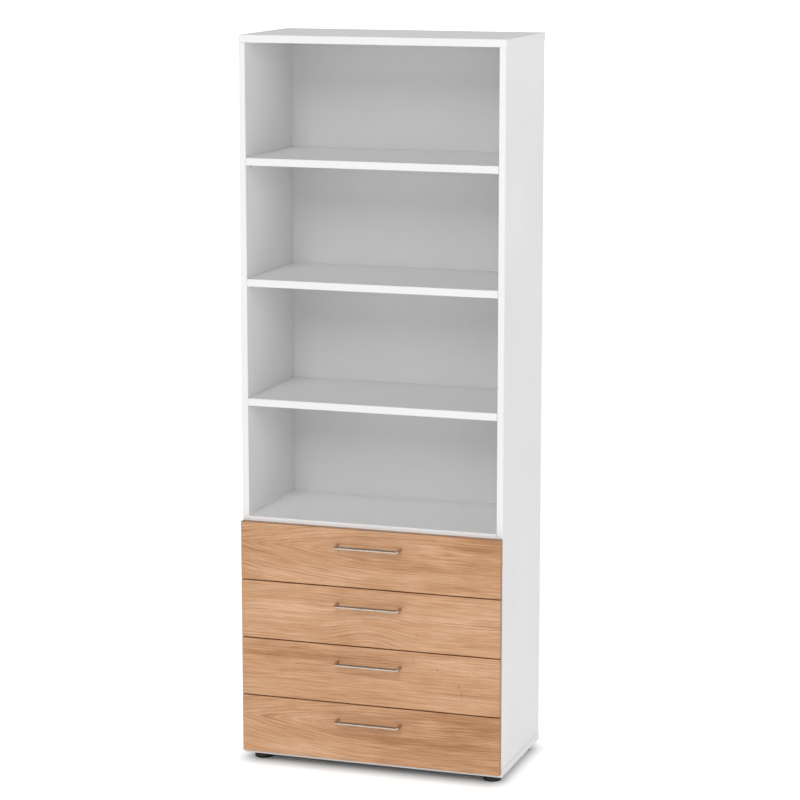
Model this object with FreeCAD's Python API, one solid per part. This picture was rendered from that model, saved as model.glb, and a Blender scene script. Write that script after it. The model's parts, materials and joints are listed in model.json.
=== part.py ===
"""Tall bookcase with four open compartments above four drawers.

Units are millimetres. +Z is up and the fronts face -Y. The origin is on the floor under
the middle of the whole footprint, drawer handles included, with every drawer shut.

The carcass is built from melamine boards: the two side panels stand between a bottom and
a top panel, and a fixed shelf above the drawers ties them together. Three more shelves lie
on supports. Each drawer is a tongued and grooved box behind a separate front and runs on a pair
of bottom-mounted roller runners. Tiers follow the 352 mm pitch of office storage.
"""
import FreeCAD
import Part

import math
import os

from FreeCAD import Vector

# --- Carcass ---------------------------------------------------------------------------
carcass_width = 800.0            # across the top and bottom panels
carcass_depth = 400.0            # front edge to rear edge of every outer panel
tier_pitch = 352.0               # top of one shelf to the top of the next
tier_count = 6                   # tiers from the bottom panel to the top panel
open_tier_count = 4              # tiers above the fixed shelf
panel_thickness = 22.0           # top and bottom panels
shelf_thickness = 22.0
side_thickness = 19.0
end_panel_overhang = 1.0         # top and bottom panels past the face of each side panel
edge_radius = 1.2                # rounding of the banded panel edges

# --- Back panel, in a groove all round ---------------------------------------------------
back_thickness = 8.0
back_inset = 7.0                 # rear edges of the carcass to the back panel
back_groove_depth = 8.0
back_groove_end_gap = 0.5        # back panel edge to the bottom of its groove

# --- Loose shelves and their pins --------------------------------------------------------
shelf_side_gap = 0.5             # shelf end to side panel
shelf_back_gap = 1.0             # shelf to back panel
support_setback = 37.0           # pin rows from the front edge and from the back panel
support_pin_radius = 2.5
support_pin_length = 9.0         # inside the side panel
support_hole_gap = 0.1           # radial clearance and clearance at the hole's end
support_tongue_length = 9.0      # under the shelf
support_width = 8.0
support_plate = 2.0              # thickness of the upright plate against the side panel
support_tongue_thickness = 2.5
support_plate_drop = 9.0         # foot of the upright plate below the shelf

# --- Dowels of the panel joints ----------------------------------------------------------
dowel_radius = 4.0
dowel_length = 35.0
dowel_face_depth = 12.0          # hole depth in the face of a panel
dowel_hole_gap = 0.05            # radial clearance
dowel_end_gap = 0.5              # clearance at each end
dowels_per_joint = 2
dowel_end_margin = 60.0          # outermost dowels from the front edge and the back panel

# --- Levelling feet ----------------------------------------------------------------------
foot_height = 22.0               # floor to the bottom panel with the feet screwed home
foot_inset_side = 42.0           # foot axis from the ends of the bottom panel
foot_inset_depth = 48.0          # foot axis from the front and rear edges
foot_pad_radius = 27.0
foot_pad_height = 12.0
foot_pad_chamfer = 1.5
foot_neck_radius = 11.0
foot_stud_radius = 5.0
foot_stud_length = 17.0          # stud above the underside of the bottom panel
foot_stud_gap = 0.1              # radial clearance in the socket
foot_stud_end_gap = 1.0          # top of the stud to the end of the socket's bore
socket_radius = 8.0
socket_flange_radius = 21.0
socket_flange_thickness = 3.0
socket_wall_top = 1.5            # closed end of the socket above its bore
socket_hole_gap = 0.1

# --- Drawer fronts -----------------------------------------------------------------------
drawer_count = 4
front_end_reveal = 1.5           # end of a front in from the end of the carcass
front_thickness = 19.0
front_gap = 3.0                  # between two fronts
lowest_front_rise = 11.5         # underside of the lowest front above the carcass underside
top_front_drop = 13.5            # top edge of the highest front below the fixed shelf's top
front_edge_radius = 1.0
front_standoff = 1.0             # back of a shut front to the carcass
bumper_thickness = 0.8
bumper_size = 9.0                # square felt pad
bumper_inset = 20.0              # pad centre from the upper or lower edge of its front

# --- Handles -----------------------------------------------------------------------------
handle_hole_spacing = 192.0
handle_rod_radius = 5.0
handle_projection = 35.0         # front of the drawer front to the outside of the handle
handle_bend_radius = 11.0        # of the rod's centre line
handle_drop = 12.5               # handle's axis below the upper edge of the box's front wall
handle_screw_radius = 2.0
handle_screw_grip = 8.0          # screw inside the handle's leg
handle_tapping_depth = 10.0
screw_hole_gap = 0.1             # radial clearance of every screw
pan_head_radius = 4.0
pan_head_height = 2.4

# --- Drawer boxes ------------------------------------------------------------------------
runner_space = 13.0              # box side to the carcass side panel
box_wall = 12.0
box_height = 120.0
box_rear_space = 36.0            # box to the back panel with the drawer shut
box_rise = 22.5                  # underside of the box walls above the lower edge of the front
box_edge_radius = 2.0            # rounding of the walls' upper edges
tongue_length = 6.0              # corner joint: tongue on the end walls, groove in the sides
tongue_thickness = 6.0
tongue_end_gap = 0.3
end_wall_drop = 8.0              # upper edge of the front and rear walls below the sides
drawer_bottom_thickness = 4.0
drawer_bottom_rise = 12.0        # underside of the drawer bottom above the walls' lower edge
drawer_bottom_groove = 6.0
drawer_bottom_gap = 0.4          # edge of the bottom to the end of its groove

# --- Roller runners ----------------------------------------------------------------------
sheet = 1.2                      # steel thickness of both runner members
runner_setback = 2.0             # cabinet member behind the front edge of the carcass
runner_overrun = 3.0             # cabinet member past the rear of the box
member_inset = 5.0               # rear end of the drawer member in from the rear of the box
roller_radius = 11.0
roller_width = 8.6
roller_bore_gap = 0.1            # radial clearance on the axle
running_gap = 0.3                # roller to whatever it rolls on, and to its rivet's head
roller_lift = 9.0                # roller axes above the underside of the box
roller_face_gap = 0.5            # roller's near face to the web of the member that holds it
upper_play = 0.7                 # roller to the upper flange of the cabinet member
lower_flange_width = 9.0
upper_flange_width = 5.2
flange_side_gap = 1.0            # cabinet member's upper flange to the drawer member's flange
under_flange_width = 10.0        # drawer member's flange under the side wall
axle_radius = 3.0
axle_head_radius = 4.5
axle_head_thickness = 0.6
front_roller_setback = 15.0      # roller axis behind the front end of the cabinet member
tail_roller_setback = 14.0       # roller axis before the rear end of the drawer member
flange_relief = 28.0             # length of the cabinet member's web left bare at the roller
roller_overlap = 43.0            # front roller to tail roller with the drawer fully out
stop_drop = 6.0                  # the out-stop hangs this far below the upper flange
stop_length = 2.0

# --- Derived levels and faces ------------------------------------------------------------
overall_depth = carcass_depth + front_standoff + front_thickness + handle_projection
carcass_front = handle_projection + front_thickness + front_standoff - overall_depth / 2
carcass_rear = carcass_front + carcass_depth
back_rear = carcass_rear - back_inset
back_front = back_rear - back_thickness

carcass_bottom = foot_height
bottom_top = carcass_bottom + panel_thickness
top_underside = carcass_bottom + tier_count * tier_pitch
top_face = top_underside + panel_thickness
fixed_shelf_top = bottom_top + (tier_count - open_tier_count) * tier_pitch
fixed_shelf_underside = fixed_shelf_top - shelf_thickness

side_outer = carcass_width / 2 - end_panel_overhang
side_inner = side_outer - side_thickness

front_zone_bottom = carcass_bottom + lowest_front_rise
front_zone_top = fixed_shelf_top - top_front_drop
front_pitch = (front_zone_top - front_zone_bottom + front_gap) / drawer_count
front_height = front_pitch - front_gap
front_half_width = carcass_width / 2 - front_end_reveal
front_back_face = carcass_front - front_standoff
front_face = front_back_face - front_thickness

box_half_width = side_inner - runner_space
box_inner_half_width = box_half_width - box_wall
box_rear = back_front - box_rear_space

runner_front = carcass_front + runner_setback
runner_rear = box_rear + runner_overrun
member_rear = box_rear - member_inset
front_roller_y = runner_front + front_roller_setback
tail_roller_y = member_rear - tail_roller_setback
drawer_travel = tail_roller_y - front_roller_y - roller_overlap
web_inner = side_inner - sheet
member_web_outer = box_half_width + sheet
drawer_flange_outer = side_inner - upper_flange_width - flange_side_gap

UP = Vector(0, 0, 1)
RIGHT = Vector(1, 0, 0)
BACK = Vector(0, 1, 0)


# --- Helpers -----------------------------------------------------------------------------
def block(x0, x1, y0, y1, z0, z1):
    """Box between two corners."""
    return Part.makeBox(x1 - x0, y1 - y0, z1 - z0, Vector(x0, y0, z0))


def rod(radius, start, direction, length):
    """Cylinder that starts at a point and runs along a direction."""
    return Part.makeCylinder(radius, length, Vector(*start), direction)


def mirrored(shape):
    """Copy of a shape on the other side of the plane x = 0."""
    return shape.mirror(Vector(0, 0, 0), RIGHT)


def pair(shape):
    """The right-hand shape and its mirror image, as separate solids."""
    return [shape, mirrored(shape)]


def solids_of(shapes):
    """All solids of a list of shapes."""
    return [solid for shape in shapes for solid in shape.Solids]


def with_holes(shape, tools):
    """Shape less a list of tools."""
    return shape.cut(tools) if tools else shape


def rounded(shape, radius, chosen):
    """Shape with a fillet on each edge for which chosen(edge) is true."""
    edges = [edge for edge in shape.Edges if chosen(edge)]
    return shape.makeFillet(radius, edges)


def runs_along(edge, axis):
    """Whether a straight edge runs along an axis."""
    start, end = edge.Vertexes[0].Point, edge.Vertexes[-1].Point
    return abs((end - start).normalize().dot(axis)) > 0.999


def turned(profile, position, direction):
    """Solid of revolution from (radius, height) points, its axis moved to a position.

    The profile is closed along the axis, so that the solid has no bore unless the
    points leave one.
    """
    points = [Vector(radius, 0, height) for radius, height in profile]
    face = Part.Face(Part.makePolygon(points + points[:1]))
    solid = face.revolve(Vector(0, 0, 0), UP, 360)
    solid.Placement = FreeCAD.Placement(
        Vector(*position), FreeCAD.Rotation(UP, direction)
    )
    return solid


def spaced(first, last, count):
    """Evenly spaced values from first to last."""
    return [first + (last - first) * i / (count - 1) for i in range(count)]


def drawer_levels():
    """Lower edge of each drawer front, from the lowest drawer up."""
    return [front_zone_bottom + i * front_pitch for i in range(drawer_count)]


def box_underside(level):
    """Underside of the box walls behind the front whose lower edge is at level."""
    return level + box_rise


def end_wall_top(level):
    """Upper edge of the box's front and rear walls."""
    return box_underside(level) + box_height - end_wall_drop


def handle_level(level):
    """Axis of the handle on the front whose lower edge is at level."""
    return end_wall_top(level) - handle_drop


def runner_axis_level(level):
    """Height of both roller axes of the drawer whose front starts at level."""
    return box_underside(level) + roller_lift


# --- Holes shared by a panel and what sits in it ------------------------------------------
def dowel_rows():
    """Depths at which a joint between two panels has its dowels."""
    return spaced(
        carcass_front + dowel_end_margin, back_front - dowel_end_margin, dowels_per_joint
    )


def end_dowel_places():
    """(x, y, z, direction) where each end-panel dowel starts, in the panel's face."""
    side_middle = (side_outer + side_inner) / 2
    places = []
    for y in dowel_rows():
        for x in (side_middle, -side_middle):
            places.append((x, y, bottom_top - dowel_face_depth, UP))
            places.append((x, y, top_underside + dowel_face_depth, -UP))
    return places


def shelf_dowel_places():
    """(x, y, z, direction) where each dowel of the fixed shelf starts, in a side panel."""
    z = fixed_shelf_top - shelf_thickness / 2
    start = side_inner + dowel_face_depth
    places = []
    for y in dowel_rows():
        places.append((start, y, z, -RIGHT))
        places.append((-start, y, z, RIGHT))
    return places


def dowel_holes(places):
    """Drilled holes that take the dowels at the given places."""
    length = dowel_length + 2 * dowel_end_gap
    radius = dowel_radius + dowel_hole_gap
    return [rod(radius, (x, y, z), direction, length) for x, y, z, direction in places]


def loose_shelf_undersides():
    """Underside of each loose shelf, from the lowest up."""
    tops = [fixed_shelf_top + (i + 1) * tier_pitch for i in range(open_tier_count - 1)]
    return [top - shelf_thickness for top in tops]


def support_pin_level(underside):
    """Axis of the pins that carry the shelf with a given underside."""
    return underside - support_plate_drop + support_width / 2


def support_rows():
    """Depths of the front and rear rows of shelf supports."""
    return (carcass_front + support_setback, back_front - support_setback)


def foot_places():
    """Name and axis (x, y) of each foot."""
    x = carcass_width / 2 - foot_inset_side
    front_y = carcass_front + foot_inset_depth
    rear_y = carcass_rear - foot_inset_depth
    return {
        "front_left_foot": (-x, front_y),
        "front_right_foot": (x, front_y),
        "rear_left_foot": (-x, rear_y),
        "rear_right_foot": (x, rear_y),
    }


# --- Carcass panels ----------------------------------------------------------------------
def back_groove(outward):
    """Tool that cuts the back panel's groove, seen from inside, past the inner faces."""
    return block(
        -side_inner - outward, side_inner + outward,
        back_front, back_rear,
        bottom_top - outward, top_underside + outward,
    )


def end_panel(z0, z1):
    """Top or bottom panel with rounded rims and the groove for the back panel."""
    half = carcass_width / 2
    panel = block(-half, half, carcass_front, carcass_rear, z0, z1)
    panel = rounded(panel, edge_radius, lambda edge: not runs_along(edge, UP))
    return with_holes(panel, [back_groove(back_groove_depth)])


def top_panel():
    """Top panel, drilled for the dowels of both side panels."""
    panel = end_panel(top_underside, top_face)
    return with_holes(panel, dowel_holes(end_dowel_places()))


def bottom_panel():
    """Bottom panel, drilled for the dowels and for the sockets of the feet."""
    panel = end_panel(carcass_bottom, bottom_top)
    sockets = [
        rod(socket_radius + socket_hole_gap, (x, y, carcass_bottom - 1), UP, 1 + socket_depth())
        for x, y in foot_places().values()
    ]
    return with_holes(panel, dowel_holes(end_dowel_places()) + sockets)


def right_side_panel():
    """Right side panel: grooved for the back and drilled for dowels and shelf supports."""
    panel = block(
        side_inner, side_outer, carcass_front, carcass_rear, bottom_top, top_underside
    )
    panel = rounded(panel, edge_radius, lambda edge: runs_along(edge, UP))
    tools = [back_groove(back_groove_depth)]
    tools += dowel_holes(end_dowel_places() + shelf_dowel_places())
    radius = support_pin_radius + support_hole_gap
    length = support_pin_length + support_hole_gap
    for underside in loose_shelf_undersides():
        z = support_pin_level(underside)
        tools += [rod(radius, (side_inner, y, z), RIGHT, length) for y in support_rows()]
    return with_holes(panel, tools)


def back_panel():
    """Back panel, let into the grooves of all four outer panels."""
    reach = back_groove_depth - back_groove_end_gap
    return block(
        -side_inner - reach, side_inner + reach,
        back_front, back_rear,
        bottom_top - reach, top_underside + reach,
    )


def fixed_shelf():
    """Shelf between the side panels that covers the drawers."""
    shelf = block(
        -side_inner, side_inner, carcass_front, back_front,
        fixed_shelf_underside, fixed_shelf_top,
    )
    shelf = rounded(shelf, edge_radius, is_front_long_edge)
    return with_holes(shelf, dowel_holes(shelf_dowel_places()))


def is_front_long_edge(edge):
    """Whether an edge runs from side to side along the front of the carcass."""
    return runs_along(edge, RIGHT) and abs(edge.Vertexes[0].Y - carcass_front) < 0.01


def loose_shelf(underside):
    """Shelf that lies on four supports."""
    half = side_inner - shelf_side_gap
    shelf = block(
        -half, half, carcass_front, back_front - shelf_back_gap,
        underside, underside + shelf_thickness,
    )
    return rounded(shelf, edge_radius, is_front_long_edge)


def shelf_support(y, underside):
    """Right-hand support: a pin in the side panel, an upright plate and a tongue."""
    y0, y1 = y - support_width / 2, y + support_width / 2
    plate = block(
        side_inner - support_plate, side_inner, y0, y1, underside - support_plate_drop, underside
    )
    tongue = block(
        side_inner - support_tongue_length, side_inner, y0, y1,
        underside - support_tongue_thickness, underside,
    )
    start = (side_inner - support_plate, y, support_pin_level(underside))
    pin = rod(support_pin_radius, start, RIGHT, support_plate + support_pin_length)
    return plate.fuse([tongue, pin]).removeSplitter()


def shelf_supports():
    """Four supports under each loose shelf."""
    supports = [
        shelf_support(y, underside)
        for underside in loose_shelf_undersides()
        for y in support_rows()
    ]
    return solids_of([side for support in supports for side in pair(support)])


def dowel(x, y, z, direction):
    """Wooden dowel centred in its drilled hole."""
    start = Vector(x, y, z) + direction * dowel_end_gap
    return rod(dowel_radius, tuple(start), direction, dowel_length)


def dowels():
    """Dowels of the six joints between the side panels and the other boards."""
    return [dowel(*place) for place in end_dowel_places() + shelf_dowel_places()]


# --- Feet --------------------------------------------------------------------------------
def socket_depth():
    """Height of a foot's socket inside the bottom panel."""
    return foot_stud_length + foot_stud_end_gap + socket_wall_top


def foot_socket(x, y):
    """Flanged plastic socket pressed into the underside of the bottom panel."""
    bore = foot_stud_radius + foot_stud_gap
    flange = -socket_flange_thickness
    profile = [
        (bore, flange),
        (socket_flange_radius, flange),
        (socket_flange_radius, 0),
        (socket_radius, 0),
        (socket_radius, socket_depth()),
        (0, socket_depth()),
        (0, socket_depth() - socket_wall_top),
        (bore, socket_depth() - socket_wall_top),
    ]
    return turned(profile, (x, y, carcass_bottom), UP)


def foot(x, y):
    """Levelling foot: a round pad that tapers to a neck, with the stud above it."""
    neck_top = foot_height - socket_flange_thickness
    stud_top = foot_height + foot_stud_length
    profile = [
        (0, 0),
        (foot_pad_radius - foot_pad_chamfer, 0),
        (foot_pad_radius, foot_pad_chamfer),
        (foot_pad_radius, foot_pad_height),
        (foot_neck_radius, neck_top),
        (foot_stud_radius, neck_top),
        (foot_stud_radius, stud_top),
        (0, stud_top),
    ]
    return turned(profile, (x, y, 0), UP)


# --- Drawer front and handle --------------------------------------------------------------
def handle_hole_places(level):
    """(x, z) of both handle screws."""
    z = handle_level(level)
    return [(handle_hole_spacing / 2, z), (-handle_hole_spacing / 2, z)]


def drawer_front(level):
    """Drawer front with rounded face edges, drilled for the handle."""
    front = block(
        -front_half_width, front_half_width, front_face, front_back_face,
        level, level + front_height,
    )
    front = rounded(front, front_edge_radius, is_front_face_edge)
    through = handle_screw_radius + screw_hole_gap
    return with_holes(front, [
        rod(through, (x, front_face - 1, z), BACK, front_thickness + 2)
        for x, z in handle_hole_places(level)
    ])


def is_front_face_edge(edge):
    """Whether an edge lies in the face of the drawer fronts."""
    return all(abs(vertex.Y - front_face) < 0.01 for vertex in edge.Vertexes)


def handle(level):
    """Bow handle: one round rod bent square at both ends and tapped in its legs."""
    z = handle_level(level)
    half = handle_hole_spacing / 2
    bar_y = front_face - handle_projection + handle_rod_radius
    bend_y = bar_y + handle_bend_radius
    bend_x = half - handle_bend_radius
    leg = rod(handle_rod_radius, (half, front_face, z), -BACK, front_face - bend_y)
    section = Part.Face(Part.Wire(
        Part.makeCircle(handle_rod_radius, Vector(half, bend_y, z), BACK)
    ))
    bend = section.revolve(Vector(bend_x, bend_y, z), UP, -90)
    bar = rod(handle_rod_radius, (-bend_x, bar_y, z), RIGHT, 2 * bend_x)
    bow = bar.fuse(pair(leg) + pair(bend)).removeSplitter()
    radius = handle_screw_radius + screw_hole_gap
    tapping = rod(radius, (half, front_face, z), -BACK, handle_tapping_depth)
    return bow.cut(pair(tapping)).Solids[0]


# --- Drawer box --------------------------------------------------------------------------
def bottom_sheet(level, reach):
    """Board between the box walls that reaches into each wall by a given depth."""
    z0 = box_underside(level) + drawer_bottom_rise
    return block(
        -box_inner_half_width - reach, box_inner_half_width + reach,
        front_back_face + box_wall - reach, box_rear - box_wall + reach,
        z0, z0 + drawer_bottom_thickness,
    )


def drawer_bottom(level):
    """Bottom board of a drawer, let into the four walls."""
    return bottom_sheet(level, drawer_bottom_groove - drawer_bottom_gap)


def end_wall_ranges():
    """(y0, y1) of the front wall and of the rear wall of a drawer box."""
    return [
        (front_back_face, front_back_face + box_wall),
        (box_rear - box_wall, box_rear),
    ]


def tongue_range(y0, y1):
    """(y0, y1) of the tongue on an end wall, in the middle of the wall."""
    middle = (y0 + y1) / 2
    return middle - tongue_thickness / 2, middle + tongue_thickness / 2


def drawer_sides(level):
    """Both side walls, grooved for the bottom and for the tongues of the end walls."""
    z0 = box_underside(level)
    z1 = z0 + box_height
    wall = block(box_inner_half_width, box_half_width, front_back_face, box_rear, z0, z1)
    wall = rounded(wall, box_edge_radius, lambda edge: is_upper_edge(edge, z1, BACK))
    tools = [bottom_sheet(level, drawer_bottom_groove)]
    for y0, y1 in end_wall_ranges():
        t0, t1 = tongue_range(y0, y1)
        reach = box_inner_half_width + tongue_length + tongue_end_gap
        tools.append(block(box_inner_half_width, reach, t0, t1, z0 - 1, z1 - end_wall_drop))
    return solids_of(pair(with_holes(wall, tools)))


def is_upper_edge(edge, level, axis):
    """Whether a straight edge at a level runs along an axis."""
    return runs_along(edge, axis) and abs(edge.Vertexes[0].Z - level) < 0.01


def drawer_end_walls(level):
    """Front and rear walls of the box with a tongue at each end."""
    z0 = box_underside(level)
    z1 = end_wall_top(level)
    reach = box_inner_half_width + tongue_length
    groove = bottom_sheet(level, drawer_bottom_groove)
    walls = []
    for y0, y1 in end_wall_ranges():
        wall = block(-box_inner_half_width, box_inner_half_width, y0, y1, z0, z1)
        wall = rounded(wall, box_edge_radius, lambda edge: is_upper_edge(edge, z1, RIGHT))
        t0, t1 = tongue_range(y0, y1)
        tongue = block(-reach, reach, t0, t1, z0, z1 - box_edge_radius)
        walls.append(wall.fuse(tongue).removeSplitter().cut(groove))
    radius = handle_screw_radius + screw_hole_gap
    walls[0] = walls[0].cut([
        rod(radius, (x, front_back_face - 1, z), BACK, box_wall + 2)
        for x, z in handle_hole_places(level)
    ])
    return solids_of(walls)


def handle_screws(level):
    """Pan-head screws from inside the box through the front into the handle's legs."""
    length = handle_screw_grip + front_thickness + box_wall
    profile = [
        (0, 0),
        (handle_screw_radius, 0),
        (handle_screw_radius, length),
        (pan_head_radius, length),
        (pan_head_radius, length + pan_head_height),
        (0, length + pan_head_height),
    ]
    return [
        turned(profile, (x, front_face - handle_screw_grip, z), BACK)
        for x, z in handle_hole_places(level)
    ]


# --- Roller runners ------------------------------------------------------------------------
def sheet_strip(points, y0, y1):
    """Bent steel strip along Y, on the right of an open outline walked in the XZ plane."""
    outline = Part.makePolygon([Vector(x, y0, z) for x, z in points])
    face = outline.makeOffset2D(-sheet, 2, True, True)
    return face.extrude(Vector(0, y1 - y0, 0))


def axle(web_face_x, y, z, direction):
    """Rivet that carries a roller, from the web's face to the end of its flat head."""
    head = roller_face_gap + roller_width + running_gap
    profile = [
        (0, 0),
        (axle_radius, 0),
        (axle_radius, head),
        (axle_head_radius, head),
        (axle_head_radius, head + axle_head_thickness),
        (0, head + axle_head_thickness),
    ]
    return turned(profile, (web_face_x, y, z), direction)


def cabinet_member(level):
    """Right-hand cabinet member: a C channel, bare at its front end where the axle sits."""
    axis = runner_axis_level(level)
    low = axis - roller_radius - running_gap
    high = axis + roller_radius + upper_play
    points = [
        (side_inner - lower_flange_width, low),
        (web_inner, low),
        (web_inner, high),
        (side_inner - upper_flange_width, high),
    ]
    channel = sheet_strip(points, runner_front, runner_rear)
    relief = block(
        side_inner - lower_flange_width - 1, web_inner,
        runner_front - 1, runner_front + flange_relief, low - 2 * sheet, high + 2 * sheet,
    )
    rivet = axle(web_inner, front_roller_y, axis, -RIGHT)
    return channel.cut(relief).fuse([out_stop(high), rivet]).removeSplitter()


def out_stop(high):
    """Tab under the upper flange that the tail roller meets when the drawer is out."""
    above_axis = roller_radius + upper_play - stop_drop
    half_chord = math.sqrt(roller_radius ** 2 - above_axis ** 2)
    stop_rear = tail_roller_y - drawer_travel - half_chord - running_gap
    return block(
        side_inner - upper_flange_width, web_inner,
        stop_rear - stop_length, stop_rear, high - stop_drop, high,
    )


def drawer_member(level):
    """Right-hand drawer member: a flange under the side wall, a web and a running flange."""
    underside = box_underside(level)
    axis = runner_axis_level(level)
    flange_top = axis + roller_radius + running_gap + sheet
    points = [
        (box_half_width - under_flange_width, underside),
        (box_half_width, underside),
        (box_half_width, flange_top),
        (drawer_flange_outer, flange_top),
    ]
    member = sheet_strip(points, front_back_face, member_rear)
    return member.fuse(axle(member_web_outer, tail_roller_y, axis, RIGHT)).removeSplitter()


def roller(near_face_x, y, z, direction):
    """Plastic runner roller with a bore for its axle."""
    outside = rod(roller_radius, (near_face_x, y, z), direction, roller_width)
    bore = rod(axle_radius + roller_bore_gap, (near_face_x, y, z), direction, roller_width)
    return outside.cut(bore)


def cabinet_rollers(level):
    """Rollers at the front ends of both cabinet members."""
    x = web_inner - roller_face_gap
    return solids_of(pair(roller(x, front_roller_y, runner_axis_level(level), -RIGHT)))


def tail_rollers(level):
    """Rollers at the rear ends of both drawer members."""
    x = member_web_outer + roller_face_gap
    return solids_of(pair(roller(x, tail_roller_y, runner_axis_level(level), RIGHT)))


def front_bumpers():
    """Felt pads on the front edges of the side panels, two behind each front's end."""
    x = (side_inner + side_outer) / 2
    half = bumper_size / 2
    pads = []
    for level in drawer_levels():
        for z in (level + bumper_inset, level + front_height - bumper_inset):
            pads += pair(block(
                x - half, x + half, carcass_front - bumper_thickness, carcass_front,
                z - half, z + half,
            ))
    return solids_of(pads)


# --- Assembly ------------------------------------------------------------------------------
def carcass_nodes():
    """Every fixed piece of the carcass by name."""
    right = right_side_panel()
    shelves = [loose_shelf(underside) for underside in loose_shelf_undersides()]
    nodes = {
        "top_panel": [top_panel()],
        "bottom_panel": [bottom_panel()],
        "left_side_panel": [mirrored(right)],
        "right_side_panel": [right],
        "back_panel": [back_panel()],
        "fixed_shelf": [fixed_shelf()],
        "shelf_supports": shelf_supports(),
        "dowels": dowels(),
        "foot_sockets": [foot_socket(x, y) for x, y in foot_places().values()],
        "front_bumpers": front_bumpers(),
    }
    for number, shelf in enumerate(shelves, start=1):
        nodes[f"loose_shelf_{number}"] = [shelf]
    return nodes


def drawer_nodes(number, level):
    """Every piece of one drawer and its runners by name."""
    name = f"drawer_{number}"
    return {
        f"{name}_front": [drawer_front(level)],
        f"{name}_handle": [handle(level)],
        f"{name}_sides": drawer_sides(level),
        f"{name}_end_walls": drawer_end_walls(level),
        f"{name}_bottom": [drawer_bottom(level)],
        f"{name}_handle_screws": handle_screws(level),
        f"{name}_drawer_members": solids_of(pair(drawer_member(level))),
        f"{name}_cabinet_members": solids_of(pair(cabinet_member(level))),
        f"{name}_cabinet_rollers": cabinet_rollers(level),
        f"{name}_tail_rollers": tail_rollers(level),
    }


def main():
    """Build every node and write one STEP file for each."""
    nodes = carcass_nodes()
    for name, (x, y) in foot_places().items():
        nodes[name] = [foot(x, y)]
    for number, level in enumerate(drawer_levels(), start=1):
        nodes.update(drawer_nodes(number, level))
    os.makedirs("parts", exist_ok=True)
    for name, solids in nodes.items():
        shape = solids[0] if len(solids) == 1 else Part.makeCompound(solids)
        shape.exportStep(f"parts/{name}.step")


main()
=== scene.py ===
"""Looks of a tall white bookcase with four wood-decor drawers.

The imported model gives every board, drawer box and runner. This script dresses them and models
what they leave out: the smooth bow handles, the moulded feet and the screws. Lengths are in
metres, +Z is up and the drawer fronts face -Y.
"""

import json
import logging
import math
from abc import ABC, abstractmethod
from collections.abc import Callable, Sequence
from dataclasses import dataclass, field, replace
from enum import Enum
from functools import partial, reduce

import bmesh
import bpy
from mathutils import Matrix, Vector

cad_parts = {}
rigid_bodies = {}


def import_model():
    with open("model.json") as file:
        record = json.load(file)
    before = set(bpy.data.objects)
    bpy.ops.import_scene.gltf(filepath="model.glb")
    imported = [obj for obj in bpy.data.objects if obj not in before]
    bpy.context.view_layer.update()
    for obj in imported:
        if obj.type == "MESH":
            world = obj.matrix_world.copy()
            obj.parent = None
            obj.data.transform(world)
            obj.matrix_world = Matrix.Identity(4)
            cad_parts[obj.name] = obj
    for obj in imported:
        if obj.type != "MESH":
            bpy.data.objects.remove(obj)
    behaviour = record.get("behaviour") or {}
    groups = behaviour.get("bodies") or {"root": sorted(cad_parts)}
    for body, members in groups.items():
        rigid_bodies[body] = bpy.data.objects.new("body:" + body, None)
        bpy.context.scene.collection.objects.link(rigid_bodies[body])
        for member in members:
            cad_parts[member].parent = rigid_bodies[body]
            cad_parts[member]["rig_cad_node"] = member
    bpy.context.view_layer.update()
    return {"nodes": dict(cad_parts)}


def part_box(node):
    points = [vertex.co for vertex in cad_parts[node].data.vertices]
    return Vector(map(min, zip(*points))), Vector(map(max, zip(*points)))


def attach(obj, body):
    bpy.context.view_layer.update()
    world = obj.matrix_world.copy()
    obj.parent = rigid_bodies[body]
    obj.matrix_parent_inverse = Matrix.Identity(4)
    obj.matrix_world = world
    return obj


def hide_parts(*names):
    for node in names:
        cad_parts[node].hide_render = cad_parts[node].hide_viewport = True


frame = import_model()
log = logging.getLogger("bookcase")

Triple = tuple[float, float, float]
Colour = Triple
Span = tuple[float, float]
Node = bpy.types.Node
Piece = bpy.types.Object
Socket = bpy.types.NodeSocket
Value = Socket | float | Triple
Inputs = dict[str | int, Value]
Seat = tuple[Vector, Vector]
Test = Callable[[Vector, Vector], bool]

WHITE: Colour = (1.0, 1.0, 1.0)
SEED_SHIFT: Triple = (3.7, 7.3, 5.9)  # way that one step of a noise's seed moves its pattern
MOST: Span = (0.3, 0.7)  # where most values of a noise lie
MERGE_DISTANCE = 1e-6
TOLERANCE = 1e-5
LEVEL_FACE = 0.99  # least rise of a level face's normal
UPRIGHT = 0.05  # most rise of an upright face's normal
SHARP_ANGLE = 32.0  # degrees past which an edge stays sharp
RIGHT = Vector((1.0, 0.0, 0.0))
BACK = Vector((0.0, 1.0, 0.0))
UP = Vector((0.0, 0.0, 1.0))


class Slot(Enum):
    """Material slots of the record."""

    MELAMINE = "white_melamine"
    BACK_BOARD = "white_back_board"
    DECOR = "cherry_decor"
    BOX_BOARD = "drawer_box_board"
    BOX_BOTTOM = "drawer_bottom_board"
    SATIN_STEEL = "satin_steel"
    PLATED_STEEL = "nickel_plated_steel"
    RUNNER_STEEL = "runner_steel"
    NYLON = "roller_plastic"
    BLACK_PLASTIC = "black_plastic"
    BEECH = "beech_dowel"
    FELT = "white_felt"


class Along(Enum):
    """Axis along which a finish is drawn out."""

    WIDTH = 0
    DEPTH = 1
    HEIGHT = 2

    def scale(self, across: float, along: float) -> Triple:
        """Return the features per metre of noise that is drawn out along this axis."""
        return tuple(along if axis == self.value else across for axis in range(3))


class Part(Enum):
    """Parts of a mesh that are selected by their place."""

    EDGE = "EDGE"
    FACE = "FACE"


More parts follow.
